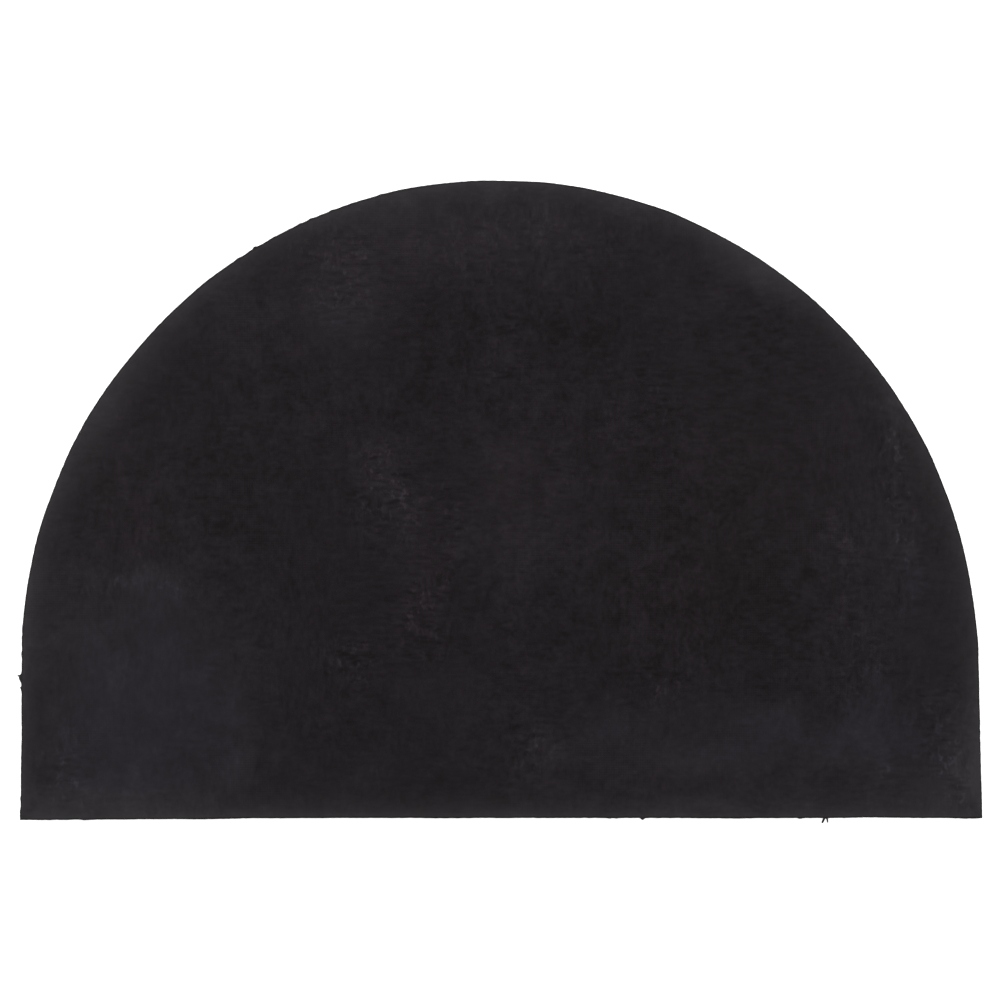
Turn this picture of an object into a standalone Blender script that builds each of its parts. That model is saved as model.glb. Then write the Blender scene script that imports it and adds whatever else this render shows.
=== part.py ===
"""Half round doormat: a black rubber backing with a pile of stiff bristles.

The mat lies turned over, with its pile on the ground and its backing up. Metres, +Z up, the straight
front edge towards -Y and the round end towards +Y. The origin is under the middle of the mat, on the ground.
"""

import math
import random

import bmesh
import bpy
from mathutils import Vector, geometry, noise

MM = 0.001

# The cut outline
WIDTH = 600.0 * MM  # corner to corner along the front edge
SIDE = 100.3 * MM  # the straight sides, from the front edge to where the arc springs
ARC_RADIUS = 297.2 * MM
ARC_OFF_CENTRE = -1.2 * MM  # the arc was cut this far towards the left
ARC_BULGE = 0.4 * MM  # the arc is this much too full at its crown and its ends, and too flat between
END_BULGE = 1.5 * MM  # and its right end runs out this much further
END_BULGE_SHARE = 0.08  # of the arc's length, over which that dies away
CORNER_DIP = 1.3 * MM  # the front edge runs out this far forward at its left corner
DIP_START = 0.30  # of the width from the left corner, where that begins
DEPTH = SIDE + ARC_RADIUS + ARC_BULGE + CORNER_DIP
BACKING_STEPS = {"front": 24, "right": 4, "arc": 96, "left": 4}  # along each stretch of the backing's outline

# The layers, from the ground up
BACKING = 3.0 * MM
PILE = 11.7 * MM
GAP = 0.3 * MM  # between the pile and the backing
THICKNESS = PILE + GAP + BACKING

# The rounded upper edge of the backing, as (how far in, how far below the top)
EDGE_ROUND = (
    (0.00 * MM, 0.80 * MM),
    (0.12 * MM, 0.35 * MM),
    (0.40 * MM, 0.10 * MM),
    (0.90 * MM, 0.00 * MM),
)

# The pile's rim: locks of bristle that hang from a shoulder round the slab
SHOULDER = 8.5 * MM  # height above the ground at which the locks part
RIM_INSET = 0.9 * MM  # the pile's wall behind the backing's cut edge
LOCK_DEPTH = 4.6 * MM
GROOVE = 0.5 * MM  # between the locks' backs and the slab
LOCK_PITCH = 7.2 * MM
MIDDLE_HEIGHT = 0.50  # of the shoulder's height, where a lock has its middle ring
MIDDLE_SHRINK = 0.84  # the middle ring's size, of the lock's root
MIDDLE_LEAN = 0.35  # the middle ring's lean and sway, of the tip's
TIP_SHRINK = (0.58, 0.76)  # least and most, of the lock's root
TIP_LEAN = (0.1 * MM, 1.5 * MM)  # outwards
TIP_SWAY = 0.7 * MM  # along the edge, either way
STRAY_HEIGHT = 3.0 * MM  # the tip of a stray lock above the ground
STRAY_SHRINK = 0.20  # and its size, of the lock's root
LOCK_SEED = 11

# Locks that stray past the cut edge, as (stretch, distance along it from its start, reach past the edge)
STRAYS = (
    ("left", 11.0 * MM, 2.2 * MM),
    ("left", 19.5 * MM, 0.9 * MM),
    ("left", 96.0 * MM, 0.6 * MM),
    ("front", 367.5 * MM, 0.6 * MM),
    ("front", 387.5 * MM, 1.3 * MM),
    ("front", 501.0 * MM, 2.8 * MM),
    ("arc", 629.0 * MM, 0.8 * MM),
)

# The slab's worn underside
LUMP_PITCH = 14.0 * MM
LUMP_JITTER = 0.22  # of the pitch
HOLLOW_DEPTH = 2.4 * MM
HOLLOW_WIDTH = 26.0 * MM
HOLLOW_START = 0.06  # of the noise's range, above which the pile is hollowed
BEARING_RADIUS = 45.0 * MM  # the middle of the mat, which bears flat on the ground
LUMP_SEED = 5
MERGE_DISTANCE = 0.001 * MM  # under which two points of the underside would be one

RUBBER = (0.0185, 0.0160, 0.0185, 1.0)
RUBBER_ROUGHNESS = 0.72
BRISTLE = (0.0130, 0.0118, 0.0122, 1.0)
BRISTLE_ROUGHNESS = 0.90
SHARP_ANGLE = math.radians(35)  # between faces, from which an edge is drawn sharp


def clear_scene():
    for thing in list(bpy.data.objects):
        bpy.data.objects.remove(thing)


def material(name, colour, roughness):
    made = bpy.data.materials.new(name)
    made.use_nodes = True
    shader = made.node_tree.nodes["Principled BSDF"]
    shader.inputs["Base Color"].default_value = colour
    shader.inputs["Roughness"].default_value = roughness
    shader.inputs["Metallic"].default_value = 0.0
    return made


def smooth_step(share):
    share = min(max(share, 0.0), 1.0)
    return share * share * (3 - 2 * share)


def front_point(share):
    """The front edge, from the left corner to the right one, with its dip at the left."""
    dip = CORNER_DIP * (1 - smooth_step(share / DIP_START))
    return Vector((WIDTH * (share - 0.5), -DEPTH / 2 + CORNER_DIP - dip))


def arc_point(share):
    """The arc, from its right end over the crown to its left end."""
    angle = math.pi * share
    radius = ARC_RADIUS + ARC_BULGE * math.cos(4 * angle)
    radius += END_BULGE * (1 - smooth_step(share / END_BULGE_SHARE))
    spring = -DEPTH / 2 + CORNER_DIP + SIDE
    return Vector((ARC_OFF_CENTRE + radius * math.cos(angle), spring + radius * math.sin(angle)))


def right_point(share):
    """The right side, from the front corner up to the arc."""
    return front_point(1.0).lerp(arc_point(0.0), share)


def left_point(share):
    """The left side, from the arc down to the front corner."""
    return arc_point(1.0).lerp(front_point(0.0), share)


STRETCHES = (
    ("front", front_point, WIDTH),
    ("right", right_point, SIDE),
    ("arc", arc_point, math.pi * ARC_RADIUS),
    ("left", left_point, SIDE),
)


def outline(steps):
    """The closed cut line, counterclockwise from the left front corner, with a count of steps for each stretch."""
    loop = []
    for name, point, _ in STRETCHES:
        loop += [point(i / steps[name]) for i in range(steps[name])]
    return loop


def moved_in(loop, distance):
    """A counterclockwise loop moved inwards, each corner along the bisector of its two edges."""
    moved = []
    for i, here in enumerate(loop):
        before = (here - loop[i - 1]).normalized()
        after = (loop[(i + 1) % len(loop)] - here).normalized()
        first = Vector((-before.y, before.x))
        second = Vector((-after.y, after.x))
        moved.append(here + (first + second) * distance / (1 + first.dot(second)))
    return moved


def ring(mesh, loop, height):
    """New corners of the mesh, level all round a flat loop."""
    return [mesh.verts.new((x, y, height)) for x, y in loop]


def join_rings(mesh, lower, upper):
    """A wall of quads between two rings, facing out where lower lies under upper."""
    count = len(lower)
    for i in range(count):
        j = (i + 1) % count
        mesh.faces.new((lower[i], lower[j], upper[j], upper[i]))


def add_object(name, mesh, look):
    bmesh.ops.recalc_face_normals(mesh, faces=mesh.faces)
    data = bpy.data.meshes.new(name)
    mesh.to_mesh(data)
    mesh.free()
    data.materials.append(look)
    made = bpy.data.objects.new(name, data)
    bpy.context.scene.collection.objects.link(made)
    return made


def build_backing():
    """The rubber sheet: the outline carried up its cut edge and over the rounded upper arris."""
    loop = outline(BACKING_STEPS)
    mesh = bmesh.new()
    rings = [ring(mesh, loop, PILE + GAP)]
    for inwards, below in EDGE_ROUND:
        rings.append(ring(mesh, moved_in(loop, inwards), THICKNESS - below))
    for lower, upper in zip(rings, rings[1:]):
        join_rings(mesh, lower, upper)
    mesh.faces.new(rings[-1])
    mesh.faces.new(reversed(rings[0]))
    made = add_object("rubber_backing", mesh, material("black rubber", RUBBER, RUBBER_ROUGHNESS))
    made.data.shade_smooth()
    made.data.set_sharp_from_angle(angle=SHARP_ANGLE)


def stray_reach(lock_counts):
    """{lock's number round the rim: its reach past the cut edge} for the locks that stray."""
    starts = {}
    total = 0
    for name, _, _ in STRETCHES:
        starts[name] = total
        total += lock_counts[name]
    lengths = {name: length for name, _, length in STRETCHES}
    found = {}
    for name, along, reach in STRAYS:
        number = min(int(along / lengths[name] * lock_counts[name]), lock_counts[name] - 1)
        found[starts[name] + number] = reach
    return found


def add_lock(mesh, root, outwards, along, shape):
    """One lock on its four root corners, by way of a middle ring, to a flat tip."""
    shrink, lean, sway, tip_height = shape
    centre = sum((corner.co for corner in root), Vector()) / 4
    levels = (
        (MIDDLE_SHRINK, lean * MIDDLE_LEAN, sway * MIDDLE_LEAN, SHOULDER * MIDDLE_HEIGHT + tip_height / 2),
        (shrink, lean, sway, tip_height),
    )
    above = root
    for share, out, aside, height in levels:
        ring_here = []
        for corner in root:
            spot = centre + (corner.co - centre) * share + outwards * out + along * aside
            ring_here.append(mesh.verts.new((spot.x, spot.y, height)))
        join_rings(mesh, ring_here, above)
        above = ring_here
    mesh.faces.new(reversed(above))


def add_locks(mesh, outer, inner, strays):
    """A lock for each step round the rim, hung between the shoulder's outer and inner rings."""
    rng = random.Random(LOCK_SEED)
    count = len(outer)
    for i in range(count):
        j = (i + 1) % count
        root = [outer[i], outer[j], inner[j], inner[i]]
        along = (outer[j].co - outer[i].co).normalized()
        outwards = Vector((along.y, -along.x, 0))
        shrink = rng.uniform(*TIP_SHRINK)
        lean = rng.uniform(*TIP_LEAN)
        sway = rng.uniform(-TIP_SWAY, TIP_SWAY)
        tip_height = 0.0
        if i in strays:
            shrink = STRAY_SHRINK
            lean = strays[i] + RIM_INSET + LOCK_DEPTH / 2 * (1 - shrink)
            tip_height = STRAY_HEIGHT
        add_lock(mesh, root, outwards, along, (shrink, lean, sway, tip_height))


def hollow(x, y):
    """How far the slab's underside stands off the ground: 0 where it bears, more in its shallow hollows."""
    rise = noise.noise(Vector((x / HOLLOW_WIDTH, y / HOLLOW_WIDTH, 0.5))) - HOLLOW_START
    near_middle = smooth_step(math.hypot(x, y) / BEARING_RADIUS - 1)
    return HOLLOW_DEPTH * max(rise, 0.0) * near_middle


def lump_points(border):
    """A jittered triangular lattice inside the border, kept half a pitch clear of it."""
    rng = random.Random(LUMP_SEED)
    row_pitch = LUMP_PITCH * math.sqrt(3) / 2
    kept_in = moved_in(border, LUMP_PITCH / 2)
    points = []
    rows = int(DEPTH / row_pitch)
    columns = int(WIDTH / LUMP_PITCH)
    for row in range(rows + 1):
        for column in range(columns + 1):
            x = (column + 0.5 * (row % 2) - columns / 2) * LUMP_PITCH
            y = (row - rows / 2) * row_pitch
            spot = Vector((x, y))
            spot.x += rng.uniform(-1, 1) * LUMP_JITTER * LUMP_PITCH
            spot.y += rng.uniform(-1, 1) * LUMP_JITTER * LUMP_PITCH
            if inside(spot, kept_in):
                points.append(spot)
    return points


def inside(spot, loop):
    """True within a closed loop: a ray from the spot crosses it an odd number of times."""
    crossings = 0
    for i, here in enumerate(loop):
        last = loop[i - 1]
        if (here.y > spot.y) != (last.y > spot.y):
            at = here.x + (spot.y - here.y) * (last.x - here.x) / (last.y - here.y)
            crossings += at > spot.x
    return crossings % 2 == 1


def add_underside(mesh, rim):
    """The slab's lumpy underside, triangulated between its rim and the lattice."""
    border = [Vector(corner.co.xy) for corner in rim]
    points = border + lump_points(border)
    edges = [(i, (i + 1) % len(border)) for i in range(len(border))]
    inside_only = 1
    places, _, triangles, *_ = geometry.delaunay_2d_cdt(points, edges, [], inside_only, MERGE_DISTANCE)
    corners = list(rim)
    for x, y in places[len(border):]:
        corners.append(mesh.verts.new((x, y, hollow(x, y))))
    for triangle in triangles:
        mesh.faces.new([corners[i] for i in triangle])


def build_pile():
    """The pile: a slab with a shoulder all round, locks hanging from it, and a lumpy underside."""
    lock_counts = {name: round(length / LOCK_PITCH) for name, _, length in STRETCHES}
    loop = moved_in(outline(lock_counts), RIM_INSET)
    back = moved_in(loop, LOCK_DEPTH)
    foot = moved_in(back, GROOVE)
    mesh = bmesh.new()
    top = ring(mesh, loop, PILE)
    outer = ring(mesh, loop, SHOULDER)
    inner = ring(mesh, back, SHOULDER)
    rim = ring(mesh, foot, 0.0)
    mesh.faces.new(top)
    join_rings(mesh, outer, top)
    add_locks(mesh, outer, inner, stray_reach(lock_counts))
    join_rings(mesh, inner, rim)
    add_underside(mesh, rim)
    add_object("bristle_pile", mesh, material("black bristle", BRISTLE, BRISTLE_ROUGHNESS))


def main():
    clear_scene()
    build_backing()
    build_pile()


main()
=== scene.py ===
"""Half round doormat, dressed for its photograph.

It lies turned over, with its cast rubber backing up and its bristle pile on the ground. Everything is in
metres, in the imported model's frame: +X along the straight front edge, +Y to the round end, +Z up.
"""

import math

import bpy
import numpy as np
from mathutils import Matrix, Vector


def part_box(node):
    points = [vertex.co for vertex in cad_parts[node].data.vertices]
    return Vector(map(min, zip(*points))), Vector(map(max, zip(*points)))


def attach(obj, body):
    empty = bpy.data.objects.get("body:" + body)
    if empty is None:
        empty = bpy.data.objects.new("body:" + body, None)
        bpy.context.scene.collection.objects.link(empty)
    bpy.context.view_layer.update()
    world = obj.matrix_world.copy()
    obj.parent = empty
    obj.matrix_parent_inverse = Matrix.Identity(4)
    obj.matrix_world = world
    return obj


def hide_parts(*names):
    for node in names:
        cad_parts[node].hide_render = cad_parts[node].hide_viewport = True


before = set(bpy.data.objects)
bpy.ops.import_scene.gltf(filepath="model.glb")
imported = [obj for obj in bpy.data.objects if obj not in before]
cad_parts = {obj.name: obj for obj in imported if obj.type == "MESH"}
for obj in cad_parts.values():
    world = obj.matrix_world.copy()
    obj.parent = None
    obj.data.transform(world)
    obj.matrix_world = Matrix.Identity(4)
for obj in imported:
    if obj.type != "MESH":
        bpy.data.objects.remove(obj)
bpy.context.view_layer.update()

MM = 0.001
backing_low, backing_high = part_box("rubber_backing")
pile_low, pile_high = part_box("bristle_pile")

# The cut outline, as in the solids
WIDTH = backing_high.x - backing_low.x
DEPTH = backing_high.y - backing_low.y
ARC_OFF_CENTRE = -1.2 * MM  # the arc was cut this far towards the left
ARC_BULGE = 0.4 * MM  # the arc is this much too full at its crown and its ends, and too flat between
END_BULGE = 1.5 * MM  # and its right end runs out this much further
END_BULGE_SHARE = 0.08  # of the arc's length, over which that dies away
CORNER_DIP = 1.3 * MM  # the front edge runs out this far forward at its left corner
DIP_START = 0.30  # of the width from the left corner, where that begins
ARC_RADIUS = 297.2 * MM
SIDE = DEPTH - ARC_RADIUS - ARC_BULGE - CORNER_DIP
FRONT_Y = backing_low.y + CORNER_DIP
SPRING_Y = FRONT_Y + SIDE  # where the arc springs from the straight sides
HUB = np.array([0.0, FRONT_Y + 0.42 * DEPTH])  # the middle that the rings of a slab close on

# Steps round the outline, each a multiple of 8 so that coarser rings keep the corners
FRONT_STEPS = 616
SIDE_STEPS = 104
ARC_STEPS = 968

# Rings of a slab's flat faces near its rim, as (share of the way from the hub, steps from point to point)
RIM_RINGS = ((0.9965, 1), (0.991, 2), (0.984, 2), (0.974, 4), (0.962, 4), (0.950, 4))
FIRST_INNER = 0.936  # the share of the first ring further in
INNER_STEP = 0.014  # of the way, between the rings from there on

# The knife's cut
CUT_WAVE = (0.16 * MM, 5.0 * MM)  # height and spacing of its fine waves
CUT_SWELL = (0.10 * MM, 22.0 * MM)  # and of its slow ones

# Its uneven places, as (x, y, how far out, half its width), in millimetres
BURRS = (
    (-298.7, -79.2, 0.35, 1.3),
    (-298.9, -82.0, 0.30, 1.2),
    (-299.1, -85.8, 0.40, 1.5),
    (-299.2, -89.6, 0.35, 1.4),
    (-299.3, -96.1, 0.35, 1.8),
    (-299.3, -110.4, 1.50, 2.1),
    (-299.3, -112.6, 0.60, 2.0),
    (-299.3, -117.4, 0.60, 1.5),
    (-299.8, -186.0, 0.35, 1.5),
    (-271.0, -199.4, 0.30, 3.0),
    (-259.0, -199.3, 0.30, 2.4),
    (-153.4, 157.3, 1.10, 1.3),
    (-160.5, 153.5, -0.30, 2.5),
    (-143.0, 164.5, 0.35, 3.5),
    (-75.0, 190.6, 0.40, 1.6),
    (-105.6, 181.0, 0.40, 2.0),
    (-118.7, 175.3, 0.40, 1.8),
    (-125.9, 172.4, 0.45, 1.6),
    (-164.5, 150.8, 0.30, 1.6),
    (-300.3, -194.3, 0.45, 1.0),
    (-300.6, -196.6, 0.40, 1.0),
    (67.5, -198.3, 0.35, 1.5),
    (88.3, -198.3, 1.35, 1.1),
    (72.0, -198.3, 0.30, 1.3),
    (186.4, -198.3, 0.50, 1.6),
    (202.7, -198.3, 0.55, 1.8),
)

# Longer stretches where it wandered off the drawn line, as in the rows above
WANDER = (
    (-266, -199.0, -0.19, 14),
    (-184, -198.4, 0.40, 20),
    (-130, -198.1, 0.15, 14),
    (-34, -198.0, 0.20, 10),
    (143, -198.0, 0.28, 22),
    (232, -198.0, -0.33, 18),
    (290, -198.0, 0.30, 9),
    (295, -66, -0.55, 20),
    (276, 7, -0.20, 8),
    (264, 32, 0.20, 9),
    (191, 127, 0.22, 9),
    (136, 164, -0.18, 9),
    (106, 178, 0.37, 9),
    (72, 189, -0.20, 7),
    (6, 199, -0.42, 14),
    (-61, 193, 0.55, 16),
    (-92, 184, 0.36, 16),
    (-124, 172, 0.30, 16),
    (-162, 151, 0.40, 12),
    (-184, 136, 0.50, 10),
    (-228, 93, -0.36, 22),
    (-259, 49, 0.20, 8),
    (-278, 8, -0.38, 13),
    (-288, -22, 0.20, 8),
    (-297, -72, 0.15, 18),
    (-299.6, -148, -0.40, 16),
    (-300, -182, -0.35, 14),
    (299.5, -187, 0.20, 12),
)

# Bristles bent out past the cut edge, as (root x, root y, tip x, tip y, thickness), in millimetres
STRAYS = (
    (-297.6, -109.4, -302.2, -109.8, 2.0),
    (-297.6, -110.6, -301.6, -110.1, 1.8),
    (-297.6, -112.0, -301.4, -110.6, 1.8),
    (-297.6, -113.4, -300.9, -111.5, 1.6),
    (-298.0, -117.3, -300.9, -117.5, 1.6),
    (203.0, -196.0, 200.9, -201.8, 2.2),
    (203.2, -196.0, 204.4, -201.6, 1.7),
    (-297.9, -194.4, -300.9, -194.2, 1.3),
)

# The pile. Its real bristles are finer and far more, and are drawn as coarse as they need to show
RIM_ROWS = (0.55, 1.25, 2.05, 2.95)  # insets of the rows of rim bristles from the cut edge, in millimetres
RIM_PITCH = 0.75 * MM  # along each row
INNER_PITCH = 2.1 * MM  # between the ends of bristle in the pile's face
INNER_MARGIN = 3.6 * MM  # between the cut edge and the first of the inner bristles
BED_INSET = 3.1 * MM
BED_HEIGHT = 3.2 * MM  # the matted depth of the pile above the ground
BED_CLEARANCE = 0.03 * MM  # between the bed and the backing
ROOT_GRIP = 0.1 * MM  # how deep the rim bristles are held in the rubber
HOLLOW_DEPTH = 1.6 * MM  # of the worn places in the pile's face
LEAN = 0.55  # how unevenly the bristles lean, in millimetres

# The rubber's patterns
BELT_THREAD = 1.5 * MM  # thread spacing of the belt's imprint: a finer one wouldn't show in the render
IMPRINT_PATCH = 62.5 * MM  # size of the places where the imprint shows or doesn't
THICK_PATCH = 16.67 * MM  # size of the places where the bloom is thicker or thinner
CLOUD = 19.23 * MM  # size of the largest clouds, with three sizes below it, each half the one before
LIVELY_PATCH = 76.9 * MM  # size of the places where the clouds are stronger or weaker
STROKE_LENGTH = 8.5 * MM
STROKE_BREADTH = 2.8 * MM
STROKE_PATCH = 14.29 * MM  # size of the places where the strokes run one way
CASTING_GRAIN = 1.11 * MM
RIM_SHEEN_REACH = 26 * MM  # how far in from the cut edge the painted sheen reaches
RIM_SHEEN_PATCH = 60 * MM
ARRIS_SHADING_REACH = 12 * MM  # how far in the painted shade and highlight of the arris reach
ARRIS_SHADE_AT_EDGE = 0.30  # its painted shade where it turns over into the cut wall, where 0.5 changes nothing
# the painted highlight and shade inside the arris, as (share of that reach, tone)
ARRIS_SHADE_AND_HIGHLIGHT = ((0.05, 0.42), (0.085, 0.68), (0.13, 0.94), (0.20, 0.84), (0.35, 0.71), (0.60, 0.59))

# The rubber's tone, as shares of the way from its dark colour to its light one
BASE_TONE = 0.155  # where there is no bloom
RIM_SHEEN_SHARE = 0.44  # added at the rim, as painted sheen
CLOUD_SHARE = 0.52  # from the darkest cloud to the palest
STROKE_SHARE = 0.70  # and so on for the strokes
MARK_SHARE = 0.32
IMPRINT_SHARE = 0.013

# Colours: black, as a photograph lit for black shows it
RUBBER_DARK = "#0e080c"
RUBBER_LIGHT_WARM = "#342e32"
RUBBER_LIGHT_COOL = "#312e36"
# the grey of the sheen painted along the rim
RUBBER_SHEEN_GREY = "#312f31"
CUT_DARK = "#141314"
CUT_LIGHT = "#232123"
FIBRE_DARK = "#0e0d0e"
FIBRE_LIGHT = "#2b282a"
# the painted shade deep in the pile, between its tufts
ROOT_SHADE_DARK = "#050505"
TABLE_WHITE = "#f2f2f2"

# The soft boxes, as (name, place, width and height in metres, power in watts)
SOFT_BOXES = (
    ("left_box", (-1.9, 0.5, 1.25), (1.2, 1.8), 34.0),
    ("right_box", (1.9, -0.2, 1.25), (1.2, 1.8), 26.0),
    ("head_box", (0.0, 2.1, 1.2), (2.2, 1.0), 22.0),
)

# Soft lighter and darker places of the rubber, as (x, y, half width, half height, turn, strength)
# in millimetres, degrees and shares of the way from the dark tone to the light one
BLOOMS = (
    (-219, -120, 119, 131, 0, 0.29),
    (-216, -58, 25, 22, 0, 0.22),
    (-258, -88, 31, 69, 0, 0.12),
    (-172, -134, 19, 19, 0, 0.12),
    (-168, -169, 22, 25, 0, 0.25),
    (-266, -153, 28, 28, 0, 0.12),
    (-232, -187, 75, 28, 0, 0.27),
    (-235, -170, 62, 36, 0, 0.10),
    (-280, -70, 30, 110, 0, 0.05),
    (-40, -122, 70, 36, 0, 0.07),
    (-280, -186, 36, 26, 0, 0.24),
    (-19, 172, 119, 56, 0, 0.23),
    (-94, 144, 75, 69, 30, 0.16),
    (-170, 118, 54, 44, 0, 0.10),
    (-107, 112, 44, 44, 0, 0.10),
    (60, 168, 69, 40, 0, 0.12),
    (152, 149, 56, 21, -35, 0.35),
    (-244, 62, 125, 27, 60, 0.22),
    (-66, -13, 24, 100, 20, 0.12),
    (9, 0, 66, 86, 0, 0.11),
    (18, -31, 69, 19, 0, 0.06),
    (242, 31, 7, 81, 0, 0.16),
    (254, -38, 7, 69, 0, 0.16),
    (240, -38, 75, 162, 8, 0.10),
    (213, -28, 15, 15, 0, 0.18),
    (149, -159, 250, 50, 0, 0.20),
    (62, -139, 29, 29, 0, 0.10),
    (28, -162, 25, 25, 0, 0.12),
    (118, -161, 37, 16, 0, 0.14),
    (168, -139, 31, 19, 0, 0.10),
    (237, -128, 25, 25, 0, 0.12),
    (223, -153, 27, 27, 0, 0.12),
    (284, -181, 44, 44, 0, 0.34),
    (290, -147, 25, 37, 0, 0.14),
    (249, -181, 44, 25, 0, 0.12),
    (118, -192, 50, 11, 0, 0.20),
    (-38, 94, 50, 75, 0, -0.06),
    (56, 103, 56, 37, 0, -0.08),
    (132, 132, 84, 60, 0, 0.06),
    (214, 66, 54, 64, 0, 0.05),
    (-225, 25, 44, 54, 0, 0.05),
    (-100, -172, 62, 34, 0, 0.10),
    (226, -150, 44, 34, 0, 0.09),
    (152, -60, 90, 70, 0, -0.05),
    (-50, -97, 50, 21, 0, -0.03),
    (-163, -25, 31, 94, 0, -0.06),
)

# Scuffed places, where the rubber is speckled with fine marks, as in the row above
SCUFFS = (
    (-100, 140, 44, 44, 0, 0.75),
    (-72, 3, 30, 56, 0, 0.98),
    (-47, -63, 22, 56, 0, 0.75),
    (-32, -8, 24, 30, 0, 0.43),
    (-97, -98, 30, 26, 0, 0.98),
    (-228, -56, 66, 16, 0, 0.65),
    (21, -157, 24, 24, 0, 0.86),
    (99, -117, 30, 30, 0, 0.54),
    (246, 0, 17, 110, 5, 0.98),
    (215, -25, 26, 50, 0, 0.65),
    (227, -103, 32, 66, 0, 0.54),
    (275, -137, 32, 36, 0, 0.54),
    (284, -174, 32, 44, 0, 1.19),
    (-266, -172, 24, 46, 0, 0.75),
    (240, -169, 26, 34, 0, 0.54),
    (0, 88, 36, 56, 0, 0.33),
    (37, 19, 30, 30, 0, 0.33),
    (24, 168, 84, 52, 0, 0.43),
    (-29, 153, 40, 40, 0, 0.33),
    (87, 53, 36, 50, 0, 0.33),
)

# Where the bloom is a little bluer, or browner if the strength is negative, as in the rows above
TINTS = (
    (-216, -125, 120, 135, 0, 0.55),
    (-100, 112, 30, 30, 0, 0.30),
    (55, -140, 62, 36, 0, 0.40),
    (181, -147, 150, 36, 0, 0.45),
    (240, -30, 34, 130, 0, 0.30),
    (237, -113, 50, 56, 0, 0.40),
    (268, -60, 36, 46, 0, 0.55),
    (250, -144, 60, 60, 0, 0.30),
    (150, 10, 170, 120, 0, -0.35),
    (110, -70, 84, 70, 0, -0.30),
    (5, 15, 42, 56, 0, -0.35),
    (-45, -40, 22, 84, 0, -0.30),
    (-244, 20, 42, 126, 0, -0.25),
    (-219, -20, 34, 42, 0, -0.30),
    (274, 30, 26, 70, 0, -0.25),
)

# Which way the short strokes run, from 0 for along X to 1 for along Y, as in the rows above
GRAIN = (
    (149, 87, 76, 84, 0, -0.50),
    (-13, 0, 80, 54, 0, -0.45),
    (-75, -75, 44, 40, 0, -0.60),
    (174, -75, 36, 36, 0, -0.50),
    (24, -125, 42, 36, 0, -0.40),
    (-25, -175, 42, 32, 0, -0.40),
    (224, -175, 42, 32, 0, -0.45),
    (-75, 125, 48, 44, 0, -0.45),
    (-225, -75, 48, 88, 0, 0.60),
    (-125, -75, 32, 84, 0, 0.40),
    (-275, -125, 32, 42, 0, 0.50),
    (99, -75, 54, 34, 0, 0.75),
    (224, 25, 34, 46, 0, 0.65),
    (-175, -175, 38, 32, 0, 0.40),
    (224, -125, 32, 32, 0, 0.40),
)


def smooth_step(share):
    share = np.clip(share, 0.0, 1.0)
    return share * share * (3 - 2 * share)


def waves(distance, spacing, count, rng):
    """A wavy line about 0, between -1 and 1: the mean of sines of about that spacing, out of step."""
    spacings = spacing * rng.uniform(0.6, 1.7, count)
    phases = rng.uniform(0, 2 * math.pi, count)
    turns = 2 * math.pi * np.asarray(distance)[..., None] / spacings + phases
    return np.sin(turns).mean(axis=-1)


def ripples(x, y, spacing, count, rng):
    """A wavy surface about 0, between -1 and 1: the mean of sines that run in all directions."""
    headings = rng.uniform(0, 2 * math.pi, count)
    spacings = spacing * rng.uniform(0.6, 1.7, count)
    phases = rng.uniform(0, 2 * math.pi, count)
    along = x[..., None] * np.cos(headings) + y[..., None] * np.sin(headings)
    return np.sin(2 * math.pi * along / spacings + phases).mean(axis=-1)


def true_outline():
    """The outline as drawn, counterclockwise from the left front corner.

    The front edge is straight but for its dip, the arc is a circle whose radius swells with the cosine of
    four times the angle and at its right end, and the two sides join them with straight lines.
    """
    front = np.arange(FRONT_STEPS + 1) / FRONT_STEPS
    dip = CORNER_DIP * (1 - smooth_step(front / DIP_START))
    front_edge = np.stack([WIDTH * (front - 0.5), FRONT_Y - dip], axis=1)
    turn = np.arange(ARC_STEPS + 1) / ARC_STEPS
    radius = ARC_RADIUS + ARC_BULGE * np.cos(4 * math.pi * turn)
    radius += END_BULGE * (1 - smooth_step(turn / END_BULGE_SHARE))
    arc_x = ARC_OFF_CENTRE + radius * np.cos(math.pi * turn)
    arc = np.stack([arc_x, SPRING_Y + radius * np.sin(math.pi * turn)], axis=1)
    side = (np.arange(SIDE_STEPS) / SIDE_STEPS)[:, None]
    right = front_edge[-1] * (1 - side) + arc[0] * side
    left = arc[-1] * (1 - side) + front_edge[0] * side
    return np.concatenate([front_edge[:-1], right, arc[:-1], left])


def depth_inside(x, y):
    """The distance from the drawn outline: to the front edge, a side or the arc, whichever is nearest."""
    dip = CORNER_DIP * (1 - smooth_step((x / WIDTH + 0.5) / DIP_START))
    front = y - FRONT_Y + dip
    turn = np.arctan2(np.maximum(y - SPRING_Y, 0.0), x - ARC_OFF_CENTRE) / math.pi
    radius = ARC_RADIUS + ARC_BULGE * np.cos(4 * math.pi * turn)
    radius += END_BULGE * (1 - smooth_step(turn / END_BULGE_SHARE))
    arc = radius - np.hypot(x - ARC_OFF_CENTRE, y - SPRING_Y)
    up_side = np.clip((y - FRONT_Y) / SIDE, 0.0, 1.0)
    arc_end = radius + np.sign(x) * ARC_OFF_CENTRE
    side = WIDTH / 2 * (1 - up_side) + arc_end * up_side - np.abs(x)
    return np.minimum(front, np.where(y > SPRING_Y, arc, side))


def outward(outline):
    """The way out at each point of an outline, evened over the neighbours so that corners stay open."""
    along = np.roll(outline, -1, axis=0) - outline
    along /= np.linalg.norm(along, axis=1, keepdims=True)
    normal = np.stack([along[:, 1], -along[:, 0]], axis=1)
    before = np.roll(normal, 1, axis=0)
    mitre = (normal + before) / (1 + (normal * before).sum(axis=1, keepdims=True))
    weights = {-2: 1, -1: 2, 0: 3, 1: 2, 2: 1}
    return sum(w * np.roll(mitre, shift, axis=0) for shift, w in weights.items()) / sum(weights.values())


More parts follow.
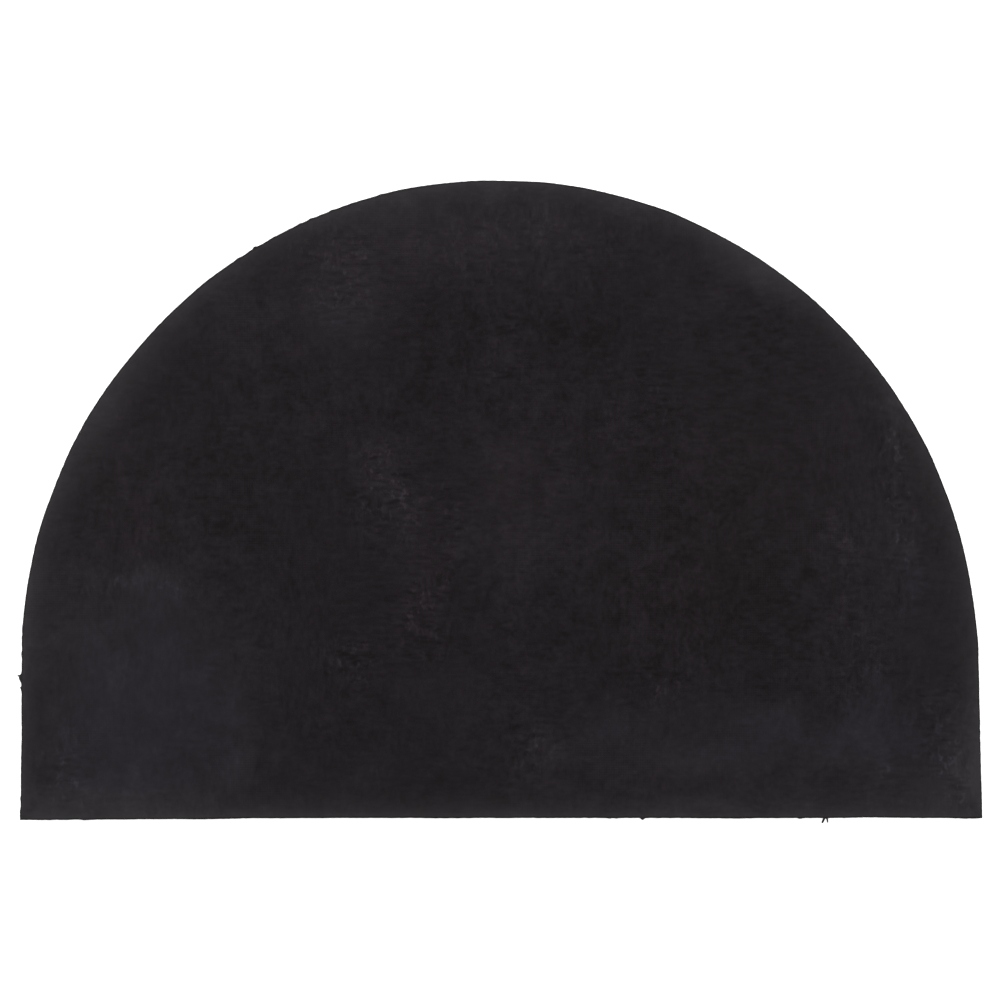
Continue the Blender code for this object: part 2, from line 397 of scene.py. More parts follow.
def cut_outline():
    """The outline as the knife left it: the drawn one, a little wavy, with its burrs and wanders.

    Each of these is its reach times exp(-(distance / half width) squared), straight out from the outline.
    """
    rng = np.random.default_rng(21)
    outline = true_outline()
    away = outward(outline)
    steps = np.linalg.norm(np.roll(outline, -1, axis=0) - outline, axis=1)
    along = np.cumsum(steps) - steps
    out = CUT_WAVE[0] * waves(along, CUT_WAVE[1], 9, rng) + CUT_SWELL[0] * waves(along, CUT_SWELL[1], 5, rng)
    for x, y, reach, half_width in BURRS + WANDER:
        squares = ((outline - np.array([x, y]) * MM) ** 2).sum(axis=1)
        out += reach * MM * np.exp(-squares / (half_width * MM) ** 2)
    return outline + away * out[:, None]


def inner_rings():
    """Shares and steps of a flat face's rings from its rim inwards: the steps double as the share halves."""
    rings = list(RIM_RINGS)
    for share in np.arange(FIRST_INNER, INNER_STEP, -INNER_STEP):
        rings.append((share, RIM_RINGS[-1][1] * 2 ** int(math.log2(1 / share))))
    return rings


def band(start_a, count_a, start_b, count_b):
    """Triangles between one ring of points and the next, which has as many, half, twice as many, or one.

    Rings run counterclockwise seen from above, and the triangles face out where a lies under b.
    """
    if count_a == 1:
        j = np.arange(count_b)
        return np.stack([np.full(count_b, start_a), start_b + (j + 1) % count_b, start_b + j], axis=1)
    if count_b == 1:
        j = np.arange(count_a)
        return np.stack([start_a + j, start_a + (j + 1) % count_a, np.full(count_a, start_b)], axis=1)
    j = np.arange(min(count_a, count_b))
    step_a = count_a // len(j)
    step_b = count_b // len(j)
    a0 = start_a + step_a * j
    b0 = start_b + step_b * j
    a2 = start_a + step_a * (j + 1) % count_a
    b2 = start_b + step_b * (j + 1) % count_b
    if step_a == 2:
        a1 = a0 + 1
        parts = [(a0, a1, b0), (a1, b2, b0), (a1, a2, b2)]
    elif step_b == 2:
        b1 = b0 + 1
        parts = [(a0, b1, b0), (a0, a2, b1), (a2, b2, b1)]
    else:
        parts = [(a0, a2, b0), (a2, b2, b0)]
    return np.concatenate([np.stack(part, axis=1) for part in parts])


def slab(outline, wall, low_z, high_z):
    """A closed slab: a lower face, a wall with its rounded edges, and an upper face.

    The wall's rows are (how far in from the outline, height above the slab's foot). Each face's points lie on
    the straight way from the wall to the hub, at the shares of inner_rings, and take their heights from the
    functions low_z and high_z. Returns the points, the triangles and each point's distance from the cut edge.
    """
    away = outward(outline)
    rows = [np.column_stack([outline - away * inset, np.full(len(outline), z)]) for inset, z in wall]
    row_edge = [np.full(len(outline), inset) for inset, _ in wall]

    def face_rings(rim, inset, height):
        rings, edges = [], []
        for share, every in inner_rings():
            spots = HUB + (rim - HUB)[::every] * share
            rings.append(np.column_stack([spots, height(spots[:, 0], spots[:, 1])]))
            edges.append(np.maximum(depth_inside(spots[:, 0], spots[:, 1]), inset))
        middle = HUB[None, :]
        rings.append(np.column_stack([middle, height(middle[:, 0], middle[:, 1])]))
        edges.append(depth_inside(middle[:, 0], middle[:, 1]))
        return rings, edges

    low, low_edge = face_rings(rows[0][:, :2], wall[0][0], low_z)
    high, high_edge = face_rings(rows[-1][:, :2], wall[-1][0], high_z)
    rings = low[::-1] + rows + high
    edges = low_edge[::-1] + row_edge + high_edge
    starts = np.concatenate([[0], np.cumsum([len(ring) for ring in rings])])
    pairs = range(len(rings) - 1)
    triangles = [band(starts[i], len(rings[i]), starts[i + 1], len(rings[i + 1])) for i in pairs]
    return np.concatenate(rings), np.concatenate(triangles), np.concatenate(edges)


def spots_at(x, y, table, start):
    """start plus the soft round spots of a table, at each place.

    A spot is its strength times the smooth step of 1 - r, with r the distance from its middle in its own
    turned and stretched measure. The places are first swayed a little, so that no spot is a plain ellipse.
    """
    rng = np.random.default_rng(6)
    shift_x = 11 * MM * ripples(x, y, 55 * MM, 8, rng) + 5 * MM * ripples(x, y, 17 * MM, 8, rng)
    shift_y = 11 * MM * ripples(x, y, 55 * MM, 8, rng) + 5 * MM * ripples(x, y, 17 * MM, 8, rng)
    total = np.full(len(x), start)
    for middle_x, middle_y, half_width, half_height, turn, strength in table:
        away_x = x + shift_x - middle_x * MM
        away_y = y + shift_y - middle_y * MM
        cosine, sine = math.cos(math.radians(turn)), math.sin(math.radians(turn))
        across = (away_x * cosine + away_y * sine) / (half_width * MM)
        up = (away_y * cosine - away_x * sine) / (half_height * MM)
        total += strength * smooth_step(1 - np.hypot(across, up))
    return total


def mesh_piece(name, places, triangles, looks, smooth=True):
    """A new object at the origin, from arrays of points and triangles."""
    data = bpy.data.meshes.new(name)
    data.vertices.add(len(places))
    data.vertices.foreach_set("co", places.astype(np.float32).ravel())
    data.loops.add(triangles.size)
    data.loops.foreach_set("vertex_index", triangles.astype(np.int32).ravel())
    data.polygons.add(len(triangles))
    data.polygons.foreach_set("loop_start", np.arange(0, triangles.size, 3, dtype=np.int32))
    data.update(calc_edges=True)
    data.validate()
    for look in looks:
        data.materials.append(look)
    data.polygons.foreach_set("use_smooth", np.full(len(triangles), smooth))
    piece = bpy.data.objects.new(name, data)
    bpy.context.scene.collection.objects.link(piece)
    return piece


def point_values(piece, name, values):
    layer = piece.data.attributes.new(name, "FLOAT", "POINT")
    layer.data.foreach_set("value", np.asarray(values, np.float32))


def bristle_arrays(roots, tips, sag, root_radius, tip_radius, steps):
    """Three-sided tapered bristles, all at once.

    With t from 0 at the root to 1 at the tip, the centreline is the straight way between the two, pushed by
    sag * 4t(1 - t), and the radius runs evenly from the root's to the tip's. Each ring of three corners lies
    square to the centreline. Returns the points, the triangles and t at each point.
    """
    count = len(roots)
    t = np.linspace(0, 1, steps + 1)[None, :, None]
    line = roots[:, None] * (1 - t) + tips[:, None] * t + sag[:, None] * 4 * t * (1 - t)
    heading = np.gradient(line, axis=1)
    heading /= np.linalg.norm(heading, axis=2, keepdims=True)
    turn = np.random.default_rng(count).uniform(0, 2 * math.pi, (count, 1))
    guide = np.stack([np.cos(turn), np.sin(turn), 0.13 * np.ones_like(turn)], axis=2)
    side = np.cross(heading, guide)
    side /= np.linalg.norm(side, axis=2, keepdims=True)
    up = np.cross(heading, side)
    radius = root_radius[:, None, None] * (1 - t) + tip_radius[:, None, None] * t
    corners = []
    for angle in 2 * math.pi * np.arange(3) / 3:
        corners.append(line + radius * (side * math.cos(angle) + up * math.sin(angle)))
    places = np.stack(corners, axis=2).reshape(-1, 3)
    first = np.arange(steps)[:, None] * 3
    k = np.arange(3)[None, :]
    a, b = first + k, first + (k + 1) % 3
    walls = np.stack([np.stack([a, b, b + 3], axis=2), np.stack([a, b + 3, a + 3], axis=2)]).reshape(-1, 3)
    ends = np.array([[0, 2, 1], [3 * steps, 3 * steps + 1, 3 * steps + 2]])
    one = np.concatenate([walls, ends])
    triangles = (one[None] + 3 * (steps + 1) * np.arange(count)[:, None, None]).reshape(-1, 3)
    return places, triangles, np.broadcast_to(t, (count, steps + 1, 3)).ravel()


def bristle_piece(name, roots, tips, sag, root_radius, tip_radius, steps, look):
    """Bristles as one piece, with each one's own random shade and its share of the way to the tip."""
    places, triangles, along = bristle_arrays(roots, tips, sag, root_radius, tip_radius, steps)
    piece = mesh_piece(name, places, triangles, [look])
    shade = np.random.default_rng(len(name)).uniform(0, 1, len(roots))
    point_values(piece, "shade", np.repeat(shade, 3 * (steps + 1)))
    point_values(piece, "to_tip", along)
    return piece


def linear(hex_colour):
    """A #rrggbb colour as Blender's linear red, green, blue and alpha."""
    channels = [int(hex_colour[i : i + 2], 16) / 255 for i in (1, 3, 5)]
    return [c / 12.92 if c <= 0.04045 else ((c + 0.055) / 1.055) ** 2.4 for c in channels] + [1.0]


def add(tree, kind, inputs=(), **settings):
    """Adds a node with its settings.

    inputs maps each socket to a value, to another node's socket to link, or to a node, which links its first
    output.
    """
    made = tree.nodes.new(kind)
    for name, value in settings.items():
        setattr(made, name, value)
    for key, value in dict(inputs).items():
        if isinstance(value, bpy.types.Node):
            value = value.outputs[0]
        if isinstance(value, bpy.types.NodeSocket):
            tree.links.new(value, made.inputs[key])
        else:
            made.inputs[key].default_value = value
    return made


def new_material(name):
    """A new material as (material, its tree, its Principled shader)."""
    made = bpy.data.materials.new(name)
    made.use_nodes = True
    tree = made.node_tree
    return made, tree, tree.nodes["Principled BSDF"]


def marks_like(tree, place, wide, tall, detail=3.0, roughness=0.6):
    """Soft marks about this wide and this tall, in metres: noise on a place that is stretched to suit."""
    where = add(tree, "ShaderNodeMapping", {"Vector": place, "Scale": (1 / wide, 1 / tall, 1 / wide)})
    settings = {"Vector": where, "Scale": 1.0, "Detail": detail, "Roughness": roughness}
    return add(tree, "ShaderNodeTexNoise", settings)


def cast_rubber():
    """Black rubber, cast as a sheet on a woven belt: matt, with the belt's faint imprint and a dusty bloom.

    The eye sees a near black of uneven tone, a little lighter and greyer towards the rim, where a sheen is
    painted, with short strokes along both ways of the weave.
    """
    made, tree, shader = new_material("cast_black_rubber")
    place = add(tree, "ShaderNodeTexCoord").outputs["Object"]
    bloom, scuffed, cool, grain_way, edge = (
        add(tree, "ShaderNodeAttribute", attribute_name=name).outputs["Fac"]
        for name in ("bloom", "scuffed", "cool", "grain_way", "edge")
    )

    # Soft blooms, more and less thick from place to place
    thick = add(tree, "ShaderNodeTexNoise", {"Vector": place, "Scale": 1 / THICK_PATCH, "Detail": 4.0})
    span = {"From Min": 0.3, "From Max": 0.7, "To Min": 0.8, "To Max": 1.2}
    thick = add(tree, "ShaderNodeMapRange", {"Value": thick, **span}, interpolation_type="SMOOTHSTEP")
    tone = add(tree, "ShaderNodeMath", {0: bloom, 1: thick, 2: BASE_TONE}, operation="MULTIPLY_ADD")

    # Painted sheen at the rim, lighter towards the cut edge, in patches
    span = {"From Min": 0.0, "From Max": RIM_SHEEN_REACH, "To Min": RIM_SHEEN_SHARE, "To Max": 0.0}
    rim = add(tree, "ShaderNodeMapRange", {"Value": edge, **span}, interpolation_type="SMOOTHSTEP")
    patches = marks_like(tree, place, RIM_SHEEN_PATCH, RIM_SHEEN_PATCH)
    tone = add(tree, "ShaderNodeMath", {0: rim, 1: patches, 2: tone}, operation="MULTIPLY_ADD")

    # Cloudy mottling, equally strong at every size, and stronger in some places
    settings = {"Vector": place, "Scale": 1 / CLOUD, "Detail": 3.0, "Roughness": 1.0}
    clouds = add(tree, "ShaderNodeTexNoise", settings)
    clouds = add(tree, "ShaderNodeMath", {0: clouds, 1: 0.5}, operation="SUBTRACT")
    lively = add(tree, "ShaderNodeTexNoise", {"Vector": place, "Scale": 1 / LIVELY_PATCH, "Detail": 2.0})
    span = {"From Min": 0.35, "From Max": 0.65, "To Min": 0.6, "To Max": 1.4}
    lively = add(tree, "ShaderNodeMapRange", {"Value": lively, **span}, interpolation_type="SMOOTHSTEP")
    clouds = add(tree, "ShaderNodeMath", {0: clouds, 1: lively}, operation="MULTIPLY")
    tone = add(tree, "ShaderNodeMath", {0: clouds, 1: CLOUD_SHARE, 2: tone}, operation="MULTIPLY_ADD")

    # Short strokes, in places along X and in places along Y, plainest where the rubber is scuffed
    level = marks_like(tree, place, STROKE_LENGTH, STROKE_BREADTH, detail=1.5)
    upright = marks_like(tree, place, STROKE_BREADTH, STROKE_LENGTH, detail=1.5)
    which = add(tree, "ShaderNodeTexNoise", {"Vector": place, "Scale": 1 / STROKE_PATCH, "Detail": 2.0})
    which = add(tree, "ShaderNodeMath", {0: which, 1: grain_way}, operation="ADD")
    span = {"From Min": 0.90, "From Max": 1.10, "To Min": 0.0, "To Max": 1.0}
    which = add(tree, "ShaderNodeMapRange", {"Value": which, **span}, interpolation_type="SMOOTHSTEP")
    strokes = add(tree, "ShaderNodeMix", {0: which, 2: level, 3: upright}, data_type="FLOAT")
    strokes = add(tree, "ShaderNodeMath", {0: strokes, 1: 0.5}, operation="SUBTRACT")
    scuffed = add(tree, "ShaderNodeMath", {0: scuffed, 1: thick}, operation="MULTIPLY")
    strokes_seen = add(tree, "ShaderNodeMath", {0: strokes, 1: scuffed}, operation="MULTIPLY")
    tone = add(tree, "ShaderNodeMath", {0: strokes_seen, 1: STROKE_SHARE, 2: tone}, operation="MULTIPLY_ADD")

    # Fine pale marks where it is scuffed
    marks = marks_like(tree, place, 3.4 * MM, 4.6 * MM, detail=1.5)
    span = {"From Min": 0.52, "From Max": 0.78, "To Min": 0.0, "To Max": MARK_SHARE}
    marks = add(tree, "ShaderNodeMapRange", {"Value": marks, **span}, interpolation_type="SMOOTHSTEP")
    worst = add(tree, "ShaderNodeMath", {0: scuffed, 1: 2.0}, operation="POWER")
    marks = add(tree, "ShaderNodeMath", {0: marks, 1: worst}, operation="MULTIPLY")
    tone = add(tree, "ShaderNodeMath", {0: marks, 1: tone}, operation="ADD")

    # The belt's threads both ways, where their imprint shows
    axes = add(tree, "ShaderNodeSeparateXYZ", {0: place})
    threads = []
    for axis in ("X", "Y"):
        turns = {0: axes.outputs[axis], 1: 2 * math.pi / BELT_THREAD}
        turned = add(tree, "ShaderNodeMath", turns, operation="MULTIPLY")
        threads.append(add(tree, "ShaderNodeMath", {0: turned}, operation="SINE"))
    imprint = add(tree, "ShaderNodeMath", dict(enumerate(threads)), operation="ADD")
    shows = add(tree, "ShaderNodeTexNoise", {"Vector": place, "Scale": 1 / IMPRINT_PATCH, "Detail": 3.0})
    span = {"From Min": 0.50, "From Max": 0.72, "To Min": 0.0, "To Max": 1.0}
    shows = add(tree, "ShaderNodeMapRange", {"Value": shows, **span}, interpolation_type="SMOOTHSTEP")
    imprint = add(tree, "ShaderNodeMath", {0: imprint, 1: shows}, operation="MULTIPLY")
    tone = add(tree, "ShaderNodeMath", {0: imprint, 1: IMPRINT_SHARE, 2: tone}, operation="MULTIPLY_ADD")

    # Painted shade and highlight at the arris: dark where it turns over, then palest, then fading
    across = add(tree, "ShaderNodeMath", {0: edge, 1: 1 / ARRIS_SHADING_REACH}, operation="MULTIPLY")
    arris = add(tree, "ShaderNodeValToRGB", {"Fac": across})
    stops = arris.color_ramp.elements
    stops[0].color = (ARRIS_SHADE_AT_EDGE, ARRIS_SHADE_AT_EDGE, ARRIS_SHADE_AT_EDGE, 1.0)
    stops[1].color = (0.5, 0.5, 0.5, 1.0)
    for share, grey in ARRIS_SHADE_AND_HIGHLIGHT:
        stops.new(share).color = (grey, grey, grey, 1.0)
    shift = add(tree, "ShaderNodeMath", {0: arris, 1: 0.5}, operation="SUBTRACT")
    tone = add(tree, "ShaderNodeMath", {0: shift, 1: tone}, operation="ADD", use_clamp=True)

    # The light colour is warmer or cooler by place, and plain grey where the sheen is painted at the rim
    warm, cold, grey = (linear(c) for c in (RUBBER_LIGHT_WARM, RUBBER_LIGHT_COOL, RUBBER_SHEEN_GREY))
    light = add(tree, "ShaderNodeMix", {0: cool, 6: warm, 7: cold}, data_type="RGBA").outputs[2]
    sheen_greying = add(tree, "ShaderNodeMath", {0: rim, 1: 2.2}, operation="MULTIPLY", use_clamp=True)
    light = add(tree, "ShaderNodeMix", {0: sheen_greying, 6: light, 7: grey}, data_type="RGBA").outputs[2]
    dark = linear(RUBBER_DARK)
    colour = add(tree, "ShaderNodeMix", {0: tone, 6: dark, 7: light}, data_type="RGBA").outputs[2]
    tree.links.new(colour, shader.inputs["Base Color"])
    span = {"From Min": 0.0, "From Max": 0.7, "To Min": 0.60, "To Max": 0.76}
    rough = add(tree, "ShaderNodeMapRange", {"Value": tone, **span}, interpolation_type="SMOOTHSTEP")
    tree.links.new(rough.outputs[0], shader.inputs["Roughness"])
    shader.inputs["Specular IOR Level"].default_value = 0.15

    grain = add(tree, "ShaderNodeTexNoise", {"Vector": place, "Scale": 1 / CASTING_GRAIN, "Detail": 2.0})
    height = add(tree, "ShaderNodeMath", {0: imprint, 1: 0.5, 2: grain}, operation="MULTIPLY_ADD")
    height = add(tree, "ShaderNodeMath", {0: strokes, 1: 1.6, 2: height}, operation="MULTIPLY_ADD")
    bump = add(tree, "ShaderNodeBump", {"Height": height, "Strength": 0.35, "Distance": 0.12 * MM})
    tree.links.new(bump.outputs[0], shader.inputs["Normal"])
    return made


def cut_rubber():
    """The same rubber where a knife went through: darker and closer, with the blade's small drag marks."""
    made, tree, shader = new_material("knife_cut_rubber")
    place = add(tree, "ShaderNodeTexCoord").outputs["Object"]
    drags = marks_like(tree, place, 0.8 * MM, 0.8 * MM)
    mottle = add(tree, "ShaderNodeTexNoise", {"Vector": place, "Scale": 1 / THICK_PATCH, "Detail": 5.0})
    tone = add(tree, "ShaderNodeMath", {0: drags, 1: mottle}, operation="MULTIPLY", use_clamp=True)
    dark, light = linear(CUT_DARK), linear(CUT_LIGHT)
    colour = add(tree, "ShaderNodeMix", {0: tone, 6: dark, 7: light}, data_type="RGBA").outputs[2]
    tree.links.new(colour, shader.inputs["Base Color"])
    shader.inputs["Roughness"].default_value = 0.62
    shader.inputs["Specular IOR Level"].default_value = 0.3
    bump = add(tree, "ShaderNodeBump", {"Height": drags, "Strength": 0.6, "Distance": 0.25 * MM})
    tree.links.new(bump.outputs[0], shader.inputs["Normal"])
    return made


def black_bristle():
    """Dyed stiff fibre, cut level: each bristle of its own shade, with shade painted dark at its root, deep in
    the pile, and paler at its tip.

    The eye sees a black brush with a dry sheen on single ends.
    """
    made, tree, shader = new_material("dyed_stiff_fibre")
    shade, to_tip = (
        add(tree, "ShaderNodeAttribute", attribute_name=name).outputs["Fac"] for name in ("shade", "to_tip")
    )
    # Painted shade: darker towards the root, deep in the pile, paler towards the tip
    tip = add(tree, "ShaderNodeMath", {0: to_tip, 1: 3.0}, operation="POWER")
    tone = add(tree, "ShaderNodeMath", {0: shade, 1: 0.55}, operation="MULTIPLY")
    tone = add(tree, "ShaderNodeMath", {0: tip, 1: 0.35, 2: tone}, operation="MULTIPLY_ADD", use_clamp=True)
    dark, light = linear(FIBRE_DARK), linear(FIBRE_LIGHT)
    colour = add(tree, "ShaderNodeMix", {0: tone, 6: dark, 7: light}, data_type="RGBA").outputs[2]
    tree.links.new(colour, shader.inputs["Base Color"])
    shader.inputs["Roughness"].default_value = 0.6
    shader.inputs["Specular IOR Level"].default_value = 0.3
    return made


def matted_roots():
    """The pile's depth, where the fibres mat together in tufts: quite rough, and nearly black with painted
    shade, darker than the bristles and darkest between the tufts.
    """
    made, tree, shader = new_material("matted_fibre_roots")
    place = add(tree, "ShaderNodeTexCoord").outputs["Object"]
    # Painted shade: darkest at the edges of the tufts, between them
    tufts = add(tree, "ShaderNodeTexVoronoi", {"Vector": place, "Scale": 1 / (1.1 * MM)}).outputs["Distance"]
    pale, deep = linear(FIBRE_DARK), linear(ROOT_SHADE_DARK)
    colour = add(tree, "ShaderNodeMix", {0: tufts, 6: pale, 7: deep}, data_type="RGBA").outputs[2]
    tree.links.new(colour, shader.inputs["Base Color"])
    shader.inputs["Roughness"].default_value = 0.95
    shader.inputs["Specular IOR Level"].default_value = 0.1
    bump = add(tree, "ShaderNodeBump", {"Height": tufts, "Strength": 0.8, "Distance": 0.6 * MM}, invert=True)
    tree.links.new(bump.outputs[0], shader.inputs["Normal"])
    return made


def build_backing(outline, rubber, cut):
    """The cast sheet: its cut wall with both edges rounded, its upper face in slow shallow ripples.

    The upper face's height is a sum of sines, fading to nothing at the rim. The wall's upright rows get the
    cut rubber and the rest the cast one.
    """
    foot = backing_low.z
    thick = backing_high.z - foot
    wall = (  # rows of (how far in, height), from the lower edge to the upper one
        (0.35 * MM, foot),
        (0.05 * MM, foot + 0.30 * MM),
        (0.00 * MM, foot + 0.45 * thick),
        (0.00 * MM, foot + thick - 0.80 * MM),
        (0.12 * MM, foot + thick - 0.35 * MM),
        (0.40 * MM, foot + thick - 0.10 * MM),
        (0.90 * MM, foot + thick),
    )
    swell_height = 0.25 * MM
    swell_spacing = 110 * MM
    flat_rim = 20 * MM

    def high_z(x, y):
        swell = swell_height * ripples(x, y, swell_spacing, 9, np.random.default_rng(4))
        return foot + thick + swell * smooth_step(depth_inside(x, y) / flat_rim)

    def low_z(x, y):
        return np.full(len(x), foot)

    places, triangles, edge = slab(outline, wall, low_z, high_z)
    piece = mesh_piece("backing_sheet", places, triangles, [rubber, cut])
    middle = places[triangles].mean(axis=1)
    on_wall = edge[triangles].max(axis=1) < 0.3 * MM
    piece.data.polygons.foreach_set("material_index", (on_wall & (middle[:, 2] > foot)).astype(np.int32))
    piece.data.set_sharp_from_angle(angle=math.radians(50))
    x, y, _ = places.T
    point_values(piece, "edge", edge)
    point_values(piece, "bloom", spots_at(x, y, BLOOMS, 0.0))
    point_values(piece, "scuffed", spots_at(x, y, SCUFFS, 0.50))
    point_values(piece, "cool", spots_at(x, y, TINTS, 0.5))
    point_values(piece, "grain_way", spots_at(x, y, GRAIN, 0.48))
    return piece


def build_bed(outline, look):
    """The matted depth of the pile: a slab a little inside the rim, its lower face lumpy."""
    foot = BED_HEIGHT
    head = backing_low.z - BED_CLEARANCE
    wall = tuple((BED_INSET, z) for z in np.linspace(foot, head, 5))
    lumps = np.random.default_rng(9)

    def low_z(x, y):
        return foot + 0.5 * MM * ripples(x, y, 18 * MM, 9, lumps)

    def high_z(x, y):
        return np.full(len(x), head)

    places, triangles, _ = slab(outline, wall, low_z, high_z)
    return mesh_piece("pile_bed", places, triangles, [look])


def tip_heights(x, y):
    """How far the worn pile's tips stand off the ground: mostly nothing, and more in its shallow hollows."""
    slow = ripples(x, y, 70 * MM, 9, np.random.default_rng(12))
    return HOLLOW_DEPTH * smooth_step((slow - 0.05) / 0.6)


def build_rim_bristles(outline, look):
    """Upright bristles in rows just inside the cut edge, each leaning a little its own way.

    Each row is the outline moved in by its inset, with a root at every pitch, jittered both ways. A tip is its
    root moved by a random lean, held to at most 0.35 mm past the cut edge, and by a random sway along it.
    """
    rng = np.random.default_rng(31)
    away = outward(outline)
    steps = np.linalg.norm(np.roll(outline, -1, axis=0) - outline, axis=1)
    along = np.concatenate([[0], np.cumsum(steps)])
    closed_away = np.vstack([away, away[:1]])
    closed_outline = np.vstack([outline, outline[:1]])
    count = int(along[-1] / RIM_PITCH)
    roots, tips = [], []
    for inset in RIM_ROWS:
        spot = (np.arange(count) + rng.uniform(-0.35, 0.35, count)) * RIM_PITCH
        out = np.stack([np.interp(spot, along, closed_away[:, i]) for i in (0, 1)], axis=1)
        rim = np.stack([np.interp(spot, along, closed_outline[:, i]) for i in (0, 1)], axis=1)
        root = rim - out * (inset * MM + 0.15 * MM + rng.uniform(-0.2, 0.2, (count, 1)) * MM)
        lean = rng.normal(0.0, LEAN, (count, 1)) * MM + 0.1 * MM
        lean = np.clip(lean, -1.5 * MM, (inset + 0.35) * MM)
        sway = rng.normal(0.0, 0.7, (count, 1)) * MM
        tip = root + out * lean + np.stack([-out[:, 1], out[:, 0]], axis=1) * sway
        roots.append(np.column_stack([root, np.full(count, backing_low.z + ROOT_GRIP)]))
        low = tip_heights(tip[:, 0], tip[:, 1]) * 0.4 + (0.1 + np.abs(rng.normal(0, 0.25, count))) * MM
        tips.append(np.column_stack([tip, low]))
    roots, tips = np.concatenate(roots), np.concatenate(tips)
    sag = np.column_stack([rng.normal(0, 0.22, (len(roots), 2)) * MM, np.zeros(len(roots))])
    root_radius = rng.uniform(0.34, 0.42, len(roots)) * MM
    return bristle_piece("rim_bristles", roots, tips, sag, root_radius, root_radius * 0.72, 2, look)


def inner_spots():
    """A jittered triangular lattice of bristles inside the rim rows."""
    rng = np.random.default_rng(17)
    row_pitch = INNER_PITCH * math.sqrt(3) / 2
    rows = np.arange(int(DEPTH / row_pitch) + 1)
    columns = np.arange(int(WIDTH / INNER_PITCH) + 1)
    row, column = np.meshgrid(rows, columns, indexing="ij")
    x = backing_low.x + (column + 0.5 * (row % 2)) * INNER_PITCH
    y = backing_low.y + row * row_pitch
    spots = np.stack([x.ravel(), y.ravel()], axis=1)
    spots += rng.uniform(-0.36, 0.36, spots.shape) * INNER_PITCH
    return spots[depth_inside(spots[:, 0], spots[:, 1]) > INNER_MARGIN]


def build_inner_bristles(look):
    """The pile's face, as three pieces from left to right: short ends of bristle out of the matted bed."""
    rng = np.random.default_rng(23)
    spots = inner_spots()
    spots = spots[np.argsort(spots[:, 0], kind="stable")]
    pieces = []
    for part, name in zip(np.array_split(spots, 3), ("left", "middle", "right")):
        count = len(part)
        lean = rng.normal(0, LEAN, (count, 2)) * MM
        tip = part + lean
        low = tip_heights(tip[:, 0], tip[:, 1]) + (0.2 + np.abs(rng.normal(0, 0.25, count))) * MM
        roots = np.column_stack([part, np.full(count, BED_HEIGHT + 1.6 * MM)])
        tips = np.column_stack([tip, low])
        root_radius = rng.uniform(0.52, 0.68, count) * MM
        sag = np.zeros((count, 3))
        made = bristle_piece(f"pile_{name}", roots, tips, sag, root_radius, root_radius * 0.75, 1, look)
        pieces.append(made)
    return pieces


def build_strays(look):
    """The few bristles that are bent out past the cut edge, each bowed between its root and its tip."""
    table = np.array(STRAYS) * MM
    count = len(table)
    roots = np.column_stack([table[:, 0:2], np.full(count, pile_high.z - 0.4 * MM)])
    tips = np.column_stack([table[:, 2:4], np.full(count, pile_high.z - 2.4 * MM)])
    sag = np.tile([0.0, 0.0, 0.4 * MM], (count, 1))
    radius = table[:, 4] / 2
    return bristle_piece("stray_bristles", roots, tips, sag, radius, radius * 0.6, 6, look)


def build_stage():
    """A white floor that glows a little, as on a lit table, so that no shadow shows on it."""
    half = 4.0
    corners = np.array([[-half, -half], [half, -half], [half, half], [-half, half]])
    places = np.column_stack([corners, np.full(4, pile_low.z - 0.3 * MM)])
    white, tree, shader = new_material("white_table")
    shader.inputs["Base Color"].default_value = linear(TABLE_WHITE)
    shader.inputs["Roughness"].default_value = 0.9
    shader.inputs["Specular IOR Level"].default_value = 0.0
    shader.inputs["Emission Color"].default_value = linear("#ffffff")
    shader.inputs["Emission Strength"].default_value = 0.75
    floor = mesh_piece("white_table", places, np.array([[0, 1, 2], [0, 2, 3]]), [white], smooth=False)
    return floor


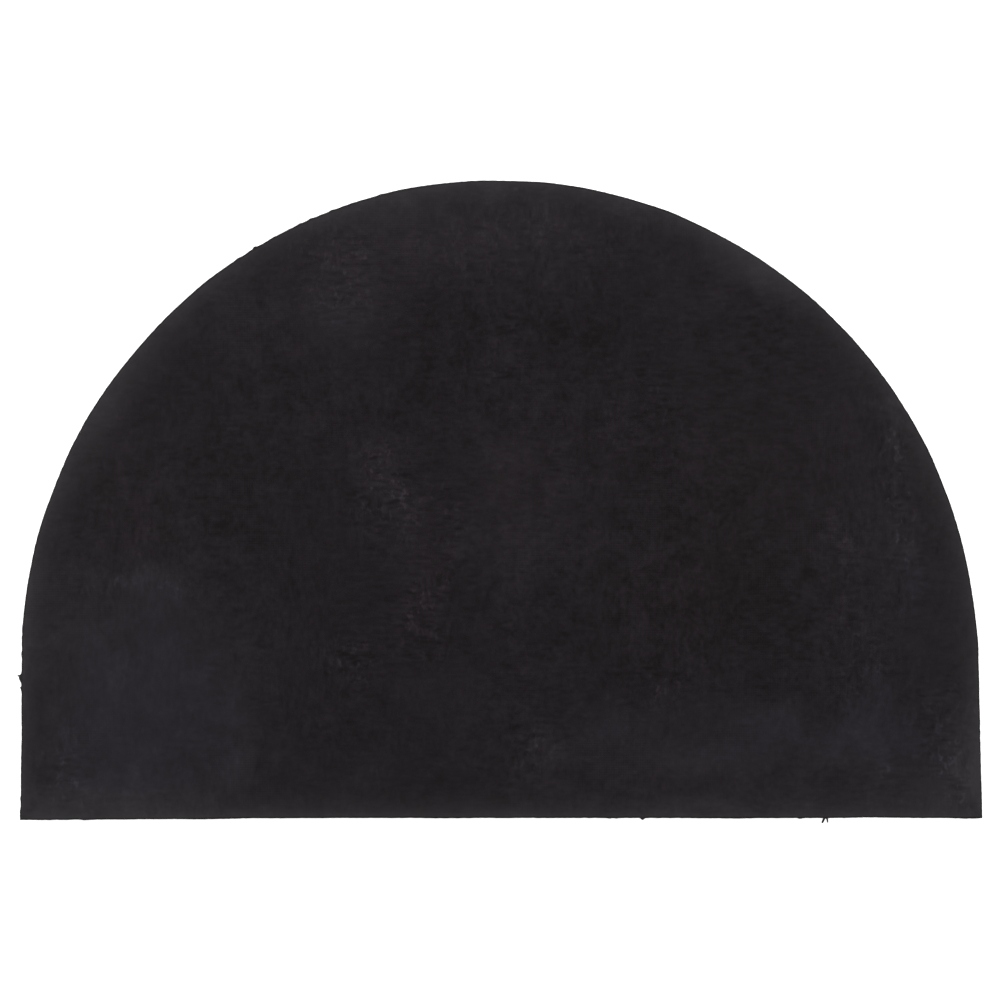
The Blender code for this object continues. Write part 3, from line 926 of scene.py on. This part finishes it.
def build_light():
    """Two long soft boxes low at the left and right, a weaker one at the head, and a sky dim overhead.

    A box is aimed at the mat's middle. The sky is brightest at the horizon, so that the rubber's flat face
    mirrors little of it towards the camera.
    """
    for name, place, size, power in SOFT_BOXES:
        lamp = bpy.data.lights.new(name, "AREA")
        lamp.shape = "RECTANGLE"
        lamp.size, lamp.size_y = size
        lamp.energy = power
        holder = bpy.data.objects.new(name, lamp)
        bpy.context.scene.collection.objects.link(holder)
        x, y, z = place
        holder.location = place
        flat = math.hypot(x, y)
        holder.rotation_euler = (math.atan2(flat, z), 0.0, math.atan2(-x, y) + math.pi)
    world = bpy.data.worlds.new("pale_room")
    bpy.context.scene.world = world
    world.use_nodes = True
    tree = world.node_tree
    way = add(tree, "ShaderNodeTexCoord").outputs["Generated"]
    up = add(tree, "ShaderNodeSeparateXYZ", {0: way}).outputs["Z"]
    span = {"From Min": 0.1, "From Max": 0.75, "To Min": 0.85, "To Max": 0.12}
    strength = add(tree, "ShaderNodeMapRange", {"Value": up, **span})
    tree.links.new(strength.outputs[0], tree.nodes["Background"].inputs["Strength"])
    tree.nodes["Background"].inputs["Color"].default_value = (1.0, 1.0, 1.0, 1.0)


def build_camera():
    """Straight above the mat, far enough for the backing to fill the frame as in the photograph."""
    lens = 85.0
    sensor = 36.0
    frame_width = 623.2 * MM  # what the picture spans at the backing's height
    camera = bpy.data.cameras.new("above")
    camera.lens = lens
    camera.sensor_width = sensor
    holder = bpy.data.objects.new("above", camera)
    bpy.context.scene.collection.objects.link(holder)
    holder.location = (-0.61 * MM, 0.07 * MM, backing_high.z + frame_width * lens / sensor)
    bpy.context.scene.camera = holder


def main():
    bpy.context.scene.view_settings.view_transform = "Standard"
    outline = cut_outline()
    fibre = black_bristle()
    backing = build_backing(outline, cast_rubber(), cut_rubber())
    pile = [build_bed(outline, matted_roots()), build_rim_bristles(outline, fibre), build_strays(fibre)]
    pile += build_inner_bristles(fibre)
    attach(backing, "root")
    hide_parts("rubber_backing")
    for piece in pile:
        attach(piece, "root")
        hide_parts("bristle_pile")
    build_stage()
    build_light()
    build_camera()


main()
